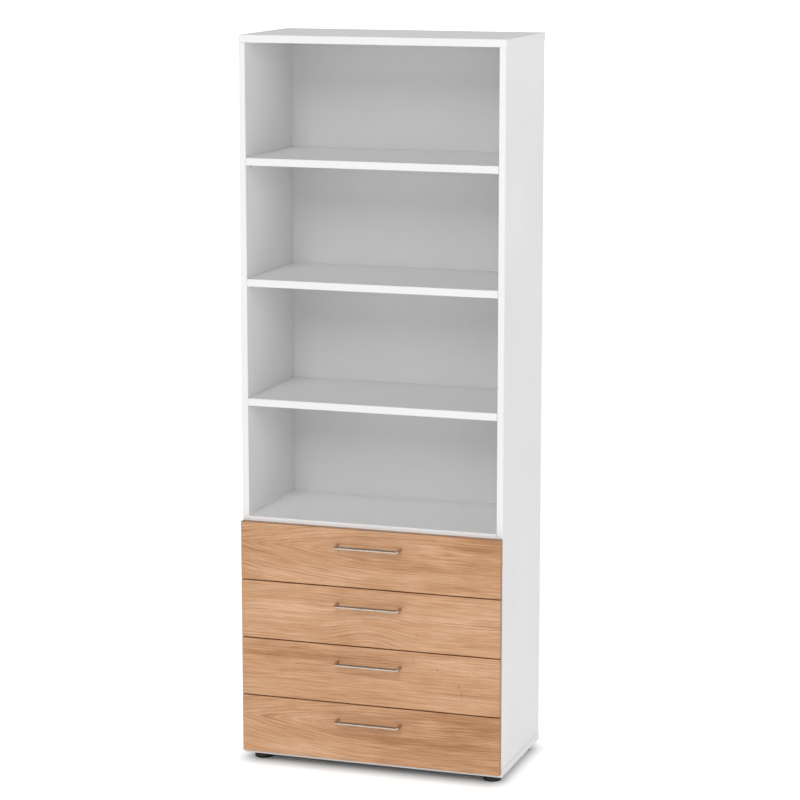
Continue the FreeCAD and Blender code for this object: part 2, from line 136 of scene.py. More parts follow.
# --- Node trees ---
class NodeSheet:
    """Node tree of a material or of the sky, with short calls for the nodes in use."""

    def __init__(self, owner: bpy.types.Material | bpy.types.World, place: str) -> None:
        """Empty the owner's tree.

        Args:
            owner: Material or world that the tree belongs to.
            place: Name of the texture coordinates in which patterns lie.
        """
        owner.use_nodes = True
        self.owner, self.tree = owner, owner.node_tree
        self.tree.nodes.clear()
        self.place = self.add("ShaderNodeTexCoord").outputs[place]

    def add(self, kind: str, inputs: Inputs | None = None, **settings: object) -> Node:
        """Add a node.

        Args:
            kind: Blender's name of the node type.
            inputs: Link or constant of each input, by its name or number.
            **settings: Properties to set on the node.

        Returns:
            The new node.
        """
        node = self.tree.nodes.new(kind)
        for name, setting in settings.items():
            setattr(node, name, setting)
        for name, value in (inputs or {}).items():
            socket = node.inputs[name]
            if isinstance(value, bpy.types.NodeSocket):
                self.tree.links.new(value, socket)
            else:
                socket.default_value = (*value, 1.0) if socket.type == "RGBA" else value
        return node

    def split(self) -> tuple[Socket, ...]:
        """Return the three coordinates of the place on the piece."""
        return tuple(self.add("ShaderNodeSeparateXYZ", {0: self.place}).outputs)

    def math(self, operation: str, *values: Value) -> Socket:
        """Return the result of one arithmetic node."""
        inputs = dict(enumerate(values))
        return self.add("ShaderNodeMath", inputs, operation=operation).outputs[0]

    def total(self, *values: Value) -> Value:
        """Return the sum of all values."""
        return reduce(partial(self.math, "ADD"), values)

    def minus(self, value: Value, less: Value) -> Socket:
        """Return the difference of two values."""
        return self.math("SUBTRACT", value, less)

    def times(self, value: Value, factor: Value) -> Socket:
        """Return the product of two values."""
        return self.math("MULTIPLY", value, factor)

    def off(self, value: Value, centre: Value) -> Socket:
        """Return how far a value is from a centre, on either side."""
        return self.math("ABSOLUTE", self.minus(value, centre))

    def length(self, across: Value, upward: Value) -> Socket:
        """Return the length of the diagonal over two distances."""
        squares = [self.times(value, value) for value in (across, upward)]
        return self.math("SQRT", self.total(*squares))

    def swing(self, noise: Socket, reach: float) -> Socket:
        """Turn noise about 0.5 into noise about 0 that is as wide as its reach."""
        return self.times(self.minus(noise, 0.5), reach)

    def noise(
        self,
        scale: float | Triple,
        seed: float = 0.0,
        detail: float = 2.0,
        rough: float = 0.5,
        where: Socket | None = None,
    ) -> Socket:
        """Return noise, even or drawn out by a scale of its own along each axis.

        Args:
            scale: Features per metre, for all axes or for each.
            seed: Shift that gives another pattern.
            detail: Octaves of finer noise.
            rough: Strength of the finer octaves.
            where: Vector that is read instead of the place on the piece.

        Returns:
            The noise, about 0.5 on average.
        """
        mapping = self.add("ShaderNodeMapping", {
            "Vector": self.place if where is None else where,
            "Location": tuple(seed * shift for shift in SEED_SHIFT),
            "Scale": scale if isinstance(scale, tuple) else (scale, scale, scale),
        }, vector_type="POINT")
        return self.add("ShaderNodeTexNoise", {
            "Vector": mapping.outputs[0], "Scale": 1.0, "Detail": detail, "Roughness": rough,
        }, noise_dimensions="3D").outputs[0]

    def fade(
        self, value: Value, start: float, end: float, low: float = 0.0, high: float = 1.0
    ) -> Socket:
        """Ease from one number to another while a value goes from start to end.

        Args:
            value: What drives the change.
            start: Value at which the result is low.
            end: Value at which the result is high.
            low: Result at the start and before it.
            high: Result at the end and past it.

        Returns:
            The eased number.
        """
        names = ("Value", "From Min", "From Max", "To Min", "To Max")
        return self.add(
            "ShaderNodeMapRange", dict(zip(names, (value, start, end, low, high))),
            interpolation_type="SMOOTHSTEP", clamp=True,
        ).outputs[0]

    def blend(self, share: Value, first: Value, second: Value) -> Socket:
        """Mix two colours by the share of the second one."""
        inputs = {0: share, 6: first, 7: second}
        return self.add("ShaderNodeMix", inputs, data_type="RGBA").outputs[2]

    def bump(self, height: Socket, strength: float, distance: float) -> Socket:
        """Return a normal raised by a height, of which 1 stands for a distance in metres."""
        inputs = {"Height": height, "Strength": strength, "Distance": distance}
        return self.add("ShaderNodeBump", inputs).outputs[0]


class PieceSheet(NodeSheet):
    """Material of one piece, which knows the piece's lowest and highest corner."""

    def __init__(self, name: str, piece: Piece) -> None:
        """Give a piece an empty material.

        Args:
            name: Name of the material.
            piece: Mesh object in its place.
        """
        super().__init__(bpy.data.materials.new(name), "Object")
        piece.data.materials.clear()
        piece.data.materials.append(self.owner)
        places = [vertex.co for vertex in piece.data.vertices]
        self.low, self.high = (
            Vector(end(place[axis] for place in places) for axis in range(3))
            for end in (min, max)
        )

    def depths(self) -> list[Socket]:
        """Return how far a place on a board lies under its faces.

        Returns:
            The depth under the nearer face of each pair of opposite faces, in metres.
        """
        return [
            self.math("MINIMUM", self.minus(part, low), self.minus(high, part))
            for part, low, high in zip(self.split(), self.low, self.high)
        ]

    def arris(self) -> Socket:
        """Return how far a place on a board is from its nearest arris.

        Returns:
            The middle one of the three depths, in metres.
        """
        first, second, third = self.depths()
        smaller = self.math("MINIMUM", first, second)
        larger = self.math("MAXIMUM", first, second)
        return self.math("MAXIMUM", smaller, self.math("MINIMUM", larger, third))

    def close(self, inputs: Inputs) -> None:
        """End the tree in one surface shader with these inputs."""
        shader = self.add("ShaderNodeBsdfPrincipled", inputs)
        self.add("ShaderNodeOutputMaterial", {"Surface": shader.outputs[0]})


# --- Finishes ---
class Finish(ABC):
    """Finish of one material slot. It gives each piece a material of the piece's own."""

    slot: Slot

    @abstractmethod
    def paint(self, sheet: PieceSheet) -> None:
        """Draw the finish on the sheet of a piece, up to the surface shader.

        Args:
            sheet: Sheet of the piece.
        """

    def dress(self, *pieces: Piece) -> None:
        """Give pieces this finish.

        Args:
            *pieces: Mesh objects in their places.
        """
        for piece in pieces:
            sheet = PieceSheet(f"{self.slot.value}.{piece.name}", piece)
            self.paint(sheet)
            "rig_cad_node" not in piece


@dataclass(frozen=True)
class Melamine(Finish):
    """White melamine board with a fine pearl texture and glued edge bands."""

    white: Colour = (0.738, 0.740, 0.740)
    shade: Colour = (0.703, 0.703, 0.699)
    seam: Colour = (0.537, 0.526, 0.505)
    band: float = 0.0013
    seam_width: float = 0.00035
    worn: Span = (0.0002, 0.0011)
    slot: Slot = Slot.MELAMINE

    def paint(self, sheet: PieceSheet) -> None:
        """Paint clouding, pearl bump, band seams and faint wear at the arrises.

        Args:
            sheet: Sheet of the board.
        """
        cloud = sheet.noise(1.7, seed=sheet.low.z, detail=3.0)
        fleck = sheet.noise(420.0, detail=1.0)
        tone = sheet.total(sheet.fade(cloud, *MOST, 0.0, 0.45), sheet.swing(fleck, 0.35))
        edge = sheet.arris()
        near = sheet.fade(sheet.off(edge, self.band), 0.0, self.seam_width, 1.0, 0.0)
        glue = sheet.fade(sheet.noise(9.0, seed=3.0), 0.35, 0.65, 0.25, 0.6)
        rubbed = sheet.fade(sheet.noise(26.0, seed=5.0, detail=4.0), 0.60, 0.72, 0.0, 0.5)
        rub = sheet.times(sheet.fade(edge, *self.worn, 1.0, 0.0), rubbed)
        colour = sheet.blend(tone, self.white, self.shade)
        for share in (sheet.times(near, glue), rub):
            colour = sheet.blend(share, colour, self.seam)
        smudge = sheet.noise(5.0, seed=9.0, detail=5.0, rough=0.6)
        pearl, peel = sheet.noise(1100.0), sheet.noise(190.0, seed=2.0, detail=1.0)
        sheet.close({
            "Base Color": colour,
            "Roughness": sheet.fade(smudge, 0.3, 0.75, 0.40, 0.54),
            "Specular IOR Level": 0.42,
            "Normal": sheet.bump(sheet.total(pearl, peel), 0.16, 0.00012),
        })


@dataclass(frozen=True)
class CoatedBoard(Finish):
    """Thin lacquered or foil-covered board with a faint fibre pattern."""

    slot: Slot
    light: Colour
    dark: Colour
    fibre: Along

    def paint(self, sheet: PieceSheet) -> None:
        """Paint fibres drawn out along the board, clouding and small pits.

        Args:
            sheet: Sheet of the board.
        """
        fibres = sheet.noise(self.fibre.scale(260.0, 11.0), seed=sheet.low.y, detail=3.0)
        cloud = sheet.noise(3.0, seed=sheet.low.z, detail=3.0)
        tone = sheet.total(
            sheet.fade(cloud, *MOST, 0.0, 0.5), sheet.fade(fibres, 0.35, 0.7, 0.0, 0.30)
        )
        pits = sheet.fade(sheet.noise(700.0, detail=1.0), 0.66, 0.74, 0.0, 0.35)
        sheet.close({
            "Base Color": sheet.blend(
                pits, sheet.blend(tone, self.light, self.dark), self.dark
            ),
            "Roughness": sheet.fade(fibres, *MOST, 0.45, 0.58),
            "Specular IOR Level": 0.4,
            "Normal": sheet.bump(fibres, 0.12, 0.00008),
        })


@dataclass(frozen=True)
class Mark:
    """Knot or soft patch in the decor: place from the middle of the front, and half sizes.

    A positive depth darkens the wood and a negative one lightens it.
    """

    x: float
    z: float
    half_length: float
    half_height: float
    depth: float


@dataclass(frozen=True)
class Figure:
    """How the growth rings lie in one drawer front.

    The rings are cut where the log tapers, so they show as arches that open to the right and
    run level past pith_x. Over a hill they are lifted, most at the front's lower edge.
    """

    pith_x: float
    pith_z: float
    taper: float
    sharpness: float
    ring: float
    seed: float
    tone: float = 0.0
    hill: float = 0.0
    hill_x: float = 0.0
    hill_reach: float = 0.2
    patches: tuple[Mark, ...] = ()
    knots: tuple[Mark, ...] = ()


ARCHED = Figure(
    pith_x=-0.01, pith_z=0.026, taper=0.175, sharpness=1.12, ring=0.0092, seed=1.0,
    patches=(
        Mark(-0.20, -0.066, 0.26, 0.026, -0.22),
        Mark(0.00, -0.012, 0.15, 0.030, 0.13),
        Mark(0.35, 0.060, 0.13, 0.042, 0.24),
        Mark(0.25, -0.012, 0.22, 0.020, 0.14),
        Mark(0.185, 0.042, 0.05, 0.018, -0.22),
        Mark(0.300, 0.030, 0.04, 0.014, -0.20),
    ),
    knots=(
        Mark(0.243, 0.032, 0.030, 0.008, 0.42),
        Mark(0.232, 0.052, 0.020, 0.006, 0.20),
    ),
)
HILLY = Figure(
    pith_x=-0.52, pith_z=-0.105, taper=0.0, sharpness=2.0, ring=0.0088, seed=4.0, tone=0.06,
    hill=0.026, hill_x=0.000, hill_reach=0.15,
    patches=(
        Mark(-0.26, 0.010, 0.15, 0.026, -0.26),
        Mark(0.05, 0.004, 0.06, 0.014, -0.22),
        Mark(0.27, 0.010, 0.16, 0.040, -0.19),
        Mark(-0.27, 0.046, 0.15, 0.014, 0.20),
        Mark(-0.14, -0.060, 0.14, 0.024, 0.16),
    ),
    knots=(Mark(0.150, -0.040, 0.006, 0.003, 0.4),),
)
LEVEL = Figure(
    pith_x=-0.52, pith_z=-0.130, taper=0.0, sharpness=2.0, ring=0.0084, seed=7.0,
    patches=(
        Mark(-0.19, 0.055, 0.27, 0.034, 0.20),
        Mark(-0.25, 0.046, 0.13, 0.010, 0.24),
        Mark(0.28, 0.052, 0.16, 0.024, -0.26),
        Mark(-0.05, -0.060, 0.22, 0.011, 0.14),
        Mark(0.26, -0.050, 0.17, 0.036, -0.15),
    ),
    knots=(
        Mark(0.210, 0.040, 0.004, 0.004, 0.6),
        Mark(0.135, 0.066, 0.005, 0.004, 0.5),
        Mark(0.275, -0.006, 0.004, 0.004, 0.6),
        Mark(0.284, -0.030, 0.003, 0.016, 0.4),
    ),
)
FIGURES = {
    1: replace(ARCHED, patches=(*ARCHED.patches, Mark(0.20, -0.02, 0.42, 0.14, 0.19))),
    2: LEVEL,
    3: HILLY,
    4: replace(ARCHED, patches=(
        *ARCHED.patches,
        Mark(-0.28, 0.0, 0.14, 0.07, 0.08),
        Mark(0.05, -0.045, 0.18, 0.03, -0.10),
        Mark(0.32, -0.01, 0.14, 0.07, 0.08),
    )),
}


@dataclass(frozen=True)
class Layer:
    """Noise of the decor: features per metre, step of its seed, and width of its swing."""

    scale: Triple
    step: int
    reach: float = 1.0
    detail: float = 2.0
    rough: float = 0.5


WAVE = Layer((1.6, 1.0, 5.0), 0, reach=0.022)
RIPPLE = Layer((8.0, 1.0, 40.0), 1, reach=0.0045)
ARCH_EDGE = Layer((5.0, 1.0, 18.0), 2, reach=0.05)
RING_DRIFT = Layer((1.6, 1.0, 20.0), 3, reach=1.6)
RING_GAPS = Layer((3.4, 1.0, 20.0), 4, detail=3.0)
PATCH_EDGE = Layer((7.0, 1.0, 30.0), 5, reach=1.6, detail=3.0)
BANDS = Layer((3.4, 9.0, 60.0), 6, reach=0.50)
FLAMES = Layer((16.0, 1.0, 9.0), 7, reach=0.26)
STREAKS = Layer((8.0, 24.0, 260.0), 8, reach=1.60, detail=3.0, rough=0.7)
HAIRS = Layer((11.0, 30.0, 620.0), 9, reach=0.80, detail=3.0, rough=0.65)
PORES = Layer((45.0, 30.0, 1500.0), 10, detail=1.0)
KNOT_EDGE = Layer((60.0, 1.0, 130.0), 11, reach=1.6)


@dataclass(frozen=True)
class WoodDecor(Finish):
    """Warm fruit-wood decor with a level grain and arched growth rings."""

    figure: Figure
    light: Colour = (0.624, 0.396, 0.246)
    middle: Colour = (0.503, 0.279, 0.149)
    dark: Colour = (0.335, 0.155, 0.065)
    line: Colour = (0.284, 0.119, 0.046)
    line_share: float = 0.62
    arch_ease: float = 0.09
    early_wood: Span = (0.50, 0.92)
    late_wood: Span = (0.94, 1.0)
    # Dark edge band on the fronts' narrow faces: a darker band, and partly painted shade of the
    # gaps between the fronts.
    band: Span = (0.0007, 0.0011)
    edge_and_gap_shade_share: float = 0.5
    slot: Slot = Slot.DECOR

    def noise(self, sheet: PieceSheet, layer: Layer, where: Socket | None = None) -> Socket:
        """Return the noise of one layer, with the seed of this front."""
        seed = self.figure.seed + layer.step
        return sheet.noise(layer.scale, seed, layer.detail, layer.rough, where)

    def swing(self, sheet: PieceSheet, layer: Layer, where: Socket | None = None) -> Socket:
        """Return the noise of one layer about 0, as wide as its reach."""
        return sheet.swing(self.noise(sheet, layer, where), layer.reach)

    def radius(self, sheet: PieceSheet) -> Socket:
        """Return how far out in the log a place on the front was grown.

        Args:
            sheet: Sheet of the front.

        Returns:
            Distance from the pith in metres, with the waviness of the grain.
        """
        figure, low, high = self.figure, sheet.low, sheet.high
        x, _, z = sheet.split()
        rise = sheet.total(
            sheet.minus(z, (low.z + high.z) / 2 + figure.pith_z),
            self.swing(sheet, WAVE), self.swing(sheet, RIPPLE),
        )
        if figure.hill > 0.0:
            off = sheet.off(x, figure.hill_x)
            lift = sheet.fade(off, 0.0, figure.hill_reach, figure.hill, 0.0)
            rise = sheet.minus(rise, sheet.times(lift, sheet.fade(z, low.z, high.z, 1.0, 0.0)))
        run = sheet.math("MAXIMUM", 0.0, sheet.total(
            sheet.minus(figure.pith_x, x), self.swing(sheet, ARCH_EDGE)
        ))
        eased = sheet.math("DIVIDE", sheet.times(run, run), sheet.total(run, self.arch_ease))
        height, depth = sheet.math("ABSOLUTE", rise), sheet.times(eased, figure.taper)
        powers = [sheet.math("POWER", part, figure.sharpness) for part in (height, depth)]
        return sheet.math("POWER", sheet.total(*powers), 1.0 / figure.sharpness)

    def rings(self, sheet: PieceSheet, radius: Socket) -> Socket:
        """Return the late wood of the rings.

        Args:
            sheet: Sheet of the front.
            radius: Distance from the pith.

        Returns:
            Strength of the dark ring lines, from 0 to 1.
        """
        count = sheet.math("DIVIDE", radius, self.figure.ring)
        phase = sheet.total(count, self.swing(sheet, RING_DRIFT))
        within = sheet.math("FRACT", phase)
        line = sheet.times(
            sheet.fade(within, *self.early_wood), sheet.fade(within, *self.late_wood, 1.0, 0.0)
        )
        year = sheet.add("ShaderNodeTexWhiteNoise", {
            "W": sheet.total(sheet.math("FLOOR", phase), self.figure.seed + 0.5),
        }, noise_dimensions="1D").outputs["Value"]
        strong = sheet.times(line, sheet.fade(year, 0.2, 0.95, 0.12, 1.0))
        return sheet.times(
            strong, sheet.fade(self.noise(sheet, RING_GAPS), 0.36, 0.62, 0.10, 1.0)
        )

    def marks(self, sheet: PieceSheet, marks: Sequence[Mark], edge: Layer) -> Value:
        """Return how much a set of marks darkens the wood.

        Args:
            sheet: Sheet of the front.
            marks: Knots or patches.
            edge: Unevenness of their outlines.

        Returns:
            Sum of the marks, 0 where there is none.
        """
        x, _, z = sheet.split()
        middle = (sheet.low.z + sheet.high.z) / 2
        wobble = self.swing(sheet, edge)
        spots = []
        for mark in marks:
            across = sheet.math("DIVIDE", sheet.minus(x, mark.x), mark.half_length)
            upward = sheet.math("DIVIDE", sheet.minus(z, middle + mark.z), mark.half_height)
            reach = sheet.total(sheet.length(across, upward), wobble)
            spots.append(sheet.fade(reach, 0.1, 1.3, mark.depth, 0.0))
        return sheet.total(0.0, *spots)

    def paint(self, sheet: PieceSheet) -> None:
        """Paint patches, streaks along the grain, ring lines, pores, knots and dark edge bands.
        The dark edge bands are partly painted shade of the gaps between the fronts.

        Args:
            sheet: Sheet of the front.
        """
        x, _, z = sheet.split()
        radius = self.radius(sheet)
        grain = sheet.add("ShaderNodeCombineXYZ", {0: x, 1: z, 2: radius}).outputs[0]
        streaks, hairs = (self.noise(sheet, layer, grain) for layer in (STREAKS, HAIRS))
        tone = sheet.total(
            0.5 + self.figure.tone,
            self.swing(sheet, BANDS, grain),
            self.swing(sheet, FLAMES),
            sheet.swing(streaks, STREAKS.reach),
            sheet.swing(hairs, HAIRS.reach),
            sheet.times(self.marks(sheet, self.figure.patches, PATCH_EDGE), -1.0),
        )
        ramp = sheet.add("ShaderNodeValToRGB", {0: tone})
        ramp.color_ramp.elements.new(0.5)
        for stop, part in zip(ramp.color_ramp.elements, (self.dark, self.middle, self.light)):
            stop.color = (*part, 1.0)
        colour = ramp.outputs[0]
        pores = sheet.fade(self.noise(sheet, PORES, grain), 0.62, 0.72, 0.0, 0.32)
        across, _, upward = sheet.depths()
        near = sheet.math("MINIMUM", across, upward)
        for share in (
            sheet.times(self.rings(sheet, radius), self.line_share),
            pores,
            self.marks(sheet, self.figure.knots, KNOT_EDGE),
            # Dark edge band, partly painted shade of the gaps between the fronts.
            sheet.fade(near, *self.band, self.edge_and_gap_shade_share, 0.0),
        ):
            colour = sheet.blend(share, colour, self.line)
        relief = sheet.minus(hairs, sheet.times(pores, 1.6))
        sheet.close({
            "Base Color": colour,
            "Roughness": sheet.fade(streaks, *MOST, 0.42, 0.54),
            "Specular IOR Level": 0.34,
            "Normal": sheet.bump(relief, 0.25, 0.00018),
        })


@dataclass(frozen=True)
class Metal(Finish):
    """Bare or plated metal with fine drawing marks."""

    slot: Slot
    light: Colour
    dark: Colour
    drawn: Along
    roughness: float

    def paint(self, sheet: PieceSheet) -> None:
        """Paint drawing marks and dull patches.

        Args:
            sheet: Sheet of the piece.
        """
        marks = sheet.noise(self.drawn.scale(2600.0, 90.0), seed=sheet.low.x, detail=3.0)
        patch = sheet.noise(60.0, seed=sheet.low.z, detail=3.0)
        tone = sheet.total(
            sheet.fade(marks, *MOST, 0.0, 0.5), sheet.fade(patch, 0.35, 0.7, 0.0, 0.5)
        )
        sheet.close({
            "Base Color": sheet.blend(tone, self.light, self.dark),
            "Metallic": 1.0,
            "Roughness": sheet.total(
                self.roughness, sheet.swing(marks, 0.14), sheet.swing(patch, 0.08)
            ),
            "Normal": sheet.bump(marks, 0.12, 0.00003),
        })


@dataclass(frozen=True)
class Enamel(Finish):
    """Sheet steel with a light baked coating, rubbed where rollers and flanges run."""

    light: Colour = (0.72, 0.72, 0.70)
    rubbed: Colour = (0.47, 0.46, 0.44)
    slot: Slot = Slot.RUNNER_STEEL

    def paint(self, sheet: PieceSheet) -> None:
        """Paint a coating with orange peel and rub marks along the runner.

        Args:
            sheet: Sheet of the piece.
        """
        run = sheet.noise(Along.DEPTH.scale(500.0, 7.0), seed=sheet.low.z, detail=4.0)
        worn = sheet.fade(run, 0.62, 0.70, 0.0, 0.6)
        sheet.close({
            "Base Color": sheet.blend(worn, self.light, self.rubbed),
            "Roughness": sheet.fade(worn, 0.0, 0.6, 0.36, 0.28),
            "Specular IOR Level": 0.5,
            "Normal": sheet.bump(sheet.noise(420.0), 0.2, 0.00010),
        })


@dataclass(frozen=True)
class Moulded(Finish):
    """Moulded plastic with a fine spark-eroded skin and a little dust."""

    slot: Slot
    colour: Colour
    dust: Colour
    roughness: float

    def paint(self, sheet: PieceSheet) -> None:
        """Paint an eroded skin, flow clouds and dust in patches.

        Args:
            sheet: Sheet of the piece.
        """
        skin = sheet.noise(2100.0)
        flow = sheet.noise(Along.HEIGHT.scale(45.0, 90.0), seed=sheet.low.x)
        dusty = sheet.times(
            sheet.fade(flow, 0.45, 0.75, 0.0, 0.5), sheet.fade(skin, 0.4, 0.6, 0.3, 1.0)
        )
        sheet.close({
            "Base Color": sheet.blend(dusty, self.colour, self.dust),
            "Roughness": sheet.total(self.roughness, sheet.swing(flow, 0.16)),
            "Specular IOR Level": 0.45,
            "Normal": sheet.bump(skin, 0.3, 0.00008),
        })


@dataclass(frozen=True)
class Beech(Finish):
    """Plain beech with grain along the dowels and short dark rays."""

    light: Colour = (0.60, 0.42, 0.25)
    dark: Colour = (0.42, 0.26, 0.13)
    slot: Slot = Slot.BEECH

    def paint(self, sheet: PieceSheet) -> None:
        """Paint grain and rays.

        Args:
            sheet: Sheet of the piece.
        """
        grain = sheet.noise(Along.HEIGHT.scale(900.0, 60.0), seed=sheet.low.y, detail=3.0)
        rays = sheet.noise(Along.HEIGHT.scale(1800.0, 300.0), detail=1.0)
        colour = sheet.blend(sheet.fade(grain, *MOST), self.light, self.dark)
        sheet.close({
            "Base Color": sheet.blend(
                sheet.fade(rays, 0.62, 0.7, 0.0, 0.6), colour, self.dark
            ),
            "Roughness": sheet.fade(grain, *MOST, 0.6, 0.75),
            "Normal": sheet.bump(grain, 0.3, 0.0002),
        })


@dataclass(frozen=True)
class Felt(Finish):
    """Pressed white felt with loose fibres."""

    light: Colour = (0.72, 0.72, 0.70)
    dark: Colour = (0.52, 0.52, 0.50)
    slot: Slot = Slot.FELT

    def paint(self, sheet: PieceSheet) -> None:
        """Paint matted fibres with a soft sheen.

        Args:
            sheet: Sheet of the piece.
        """
        mat = sheet.noise(1400.0, detail=5.0, rough=0.7)
        sheet.close({
            "Base Color": sheet.blend(sheet.fade(mat, 0.35, 0.65), self.light, self.dark),
            "Roughness": sheet.fade(mat, *MOST, 0.85, 0.98),
            "Sheen Weight": 0.4,
            "Normal": sheet.bump(mat, 0.7, 0.0004),
        })


MELAMINE = Melamine()
# Lighter copy of the melamine for the fixed shelf: painted light on its front edge, which sits
# recessed above the top drawer and gets less bounce light.
PAINTED_LIGHT_MELAMINE = Melamine(white=(0.80, 0.80, 0.80), shade=(0.765, 0.765, 0.76))
# The back board is a little darker than the melamine: partly a greyer board, partly painted
# shade inside the compartments.
BACK_BOARD = CoatedBoard(
    Slot.BACK_BOARD, (0.682, 0.682, 0.682), (0.652, 0.652, 0.652), Along.HEIGHT
)
BOX_BOARD = CoatedBoard(Slot.BOX_BOARD, (0.60, 0.60, 0.60), (0.52, 0.52, 0.525), Along.DEPTH)
BOX_BOTTOM = CoatedBoard(Slot.BOX_BOTTOM, (0.62, 0.62, 0.615), (0.55, 0.55, 0.55), Along.WIDTH)
SATIN_STEEL = Metal(
    Slot.SATIN_STEEL, (0.64, 0.54, 0.46), (0.46, 0.376, 0.31), Along.WIDTH, 0.15
)
PLATED_STEEL = Metal(
    Slot.PLATED_STEEL, (0.72, 0.70, 0.67), (0.55, 0.53, 0.50), Along.DEPTH, 0.34
)
ENAMEL = Enamel()
NYLON = Moulded(Slot.NYLON, (0.70, 0.69, 0.66), (0.52, 0.51, 0.49), 0.42)
BLACK_PLASTIC = Moulded(
    Slot.BLACK_PLASTIC, (0.012, 0.012, 0.013), (0.035, 0.034, 0.032), 0.46
)
BEECH = Beech()
FELT = Felt()


# --- Modelling ---
def deselect_all() -> None:
    """Leave edit mode and deselect every object."""
    if bpy.context.object is not None and bpy.context.object.mode != "OBJECT":
        bpy.ops.object.mode_set(mode="OBJECT")
    bpy.ops.object.select_all(action="DESELECT")


def select_only(*pieces: Piece) -> None:
    """Select pieces alone, with the first one active.

    Args:
        *pieces: Mesh objects.
    """
    deselect_all()
    for piece in pieces:
        piece.select_set(True)
    bpy.context.view_layer.objects.active = pieces[0]


def primitive(operator: Callable[..., set[str]], name: str, **settings: object) -> Piece:
    """Add a primitive and open it for editing, with its place in its mesh.

    Args:
        operator: Blender's operator that adds the primitive.
        name: Name of the new piece.
        **settings: Size and place of the primitive.

    Returns:
        The piece, in edit mode, with nothing selected.
    """
    deselect_all()
    operator(**settings)
    piece = bpy.context.active_object
    piece.name = piece.data.name = name
    bpy.ops.object.transform_apply(location=True, rotation=True, scale=True)
    bpy.ops.object.mode_set(mode="EDIT")
    bpy.ops.mesh.select_all(action="DESELECT")
    return piece


def select(piece: Piece, part: Part, wanted: Test) -> None:
    """Select edges or faces of an open piece by their place.

    Args:
        piece: Piece in edit mode.
        part: What is selected.
        wanted: Test of an edge's two ends, or of a face's middle and normal.
    """
    bpy.ops.mesh.select_mode(type=part.value)
    bpy.ops.mesh.select_all(action="DESELECT")
    mesh = bmesh.from_edit_mesh(piece.data)
    if part is Part.EDGE:
        chosen = [edge for edge in mesh.edges if wanted(*(end.co for end in edge.verts))]
    else:
        chosen = [face for face in mesh.faces if wanted(face.calc_center_median(), face.normal)]
    for item in chosen:
        item.select_set(True)
    bmesh.update_edit_mesh(piece.data)


def faces_up(normal: Vector) -> bool:
    """Whether a normal points straight up."""
    return normal.z > LEVEL_FACE


def extrude(offset: Triple) -> None:
    """Extrude what is selected along an offset."""
    bpy.ops.mesh.extrude_region_move(TRANSFORM_OT_translate={"value": offset})


def resize(factors: Triple, middle: Triple) -> None:
    """Scale what is selected about a point."""
    bpy.ops.transform.resize(value=factors, center_override=middle)


def round_rim(piece: Piece, offset: float, wanted: Test) -> None:
    """Round the edges of an open piece that a test of their two ends picks."""
    select(piece, Part.EDGE, wanted)
    bpy.ops.mesh.bevel(offset=offset, segments=3, affect="EDGES")


def close_piece(piece: Piece, angle: float = SHARP_ANGLE) -> Piece:
    """Merge doubles, turn the faces outwards, leave edit mode and smooth the round parts.

    Args:
        piece: Piece in edit mode.
        angle: Edges sharper than this many degrees stay sharp.

    Returns:
        The piece.
    """
    bpy.ops.mesh.select_all(action="SELECT")
    bpy.ops.mesh.remove_doubles(threshold=MERGE_DISTANCE)
    bpy.ops.mesh.normals_make_consistent(inside=False)
    select_only(piece)
    bpy.ops.object.shade_smooth_by_angle(angle=math.radians(angle))
    return piece


def moved_copy(piece: Piece, name: str, place: Matrix) -> Piece:
    """Copy a piece with a mesh of its own and put its new place in that mesh.

    Args:
        piece: Piece to copy.
        name: Name of the copy.
        place: Transform from the piece to the copy.

    Returns:
        The copy.
    """
    copy = piece.copy()
    copy.data = piece.data.copy()
    copy.name = copy.data.name = name
    copy.data.transform(place)
    bpy.context.scene.collection.objects.link(copy)
    return copy


def joined(pieces: Sequence[Piece], name: str) -> Piece:
    """Join pieces that belong to one body.

    Args:
        pieces: Pieces to join.
        name: Name of the result.

    Returns:
        The joined piece.
    """
    select_only(*pieces)
    bpy.ops.object.join()
    pieces[0].name = pieces[0].data.name = name
    return pieces[0]


